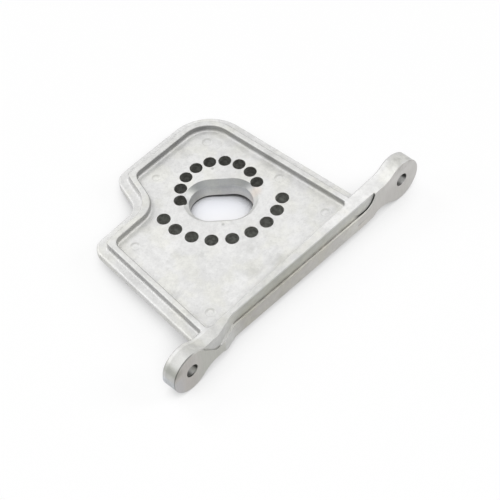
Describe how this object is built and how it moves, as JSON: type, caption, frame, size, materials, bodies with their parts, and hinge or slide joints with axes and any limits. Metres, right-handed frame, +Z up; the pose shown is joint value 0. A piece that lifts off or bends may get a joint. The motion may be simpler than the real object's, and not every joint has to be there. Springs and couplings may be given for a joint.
{
  "type": "motor mount",
  "caption": "Cast aluminium plate with a raised bead, a slotted centre opening ringed by paired screw holes, and a foot bar that ends in two round screw ears.",
  "frame": {"origin": "the motor axis in its middle gear position, in the plane of the motor seat", "axes": "+X along the foot from the ear by the notched corner to the other ear, +Y from the foot towards the head of the plate, +Z up out of the side with the bead"},
  "size_m": [0.0861, 0.0538, 0.0116],
  "materials": {
    "cast_aluminium": "as cast, matt, with machined faces and bores"
  },
  "bodies": {
    "root": {"motor_mount": "cast_aluminium"}
  },
  "joints": []
}
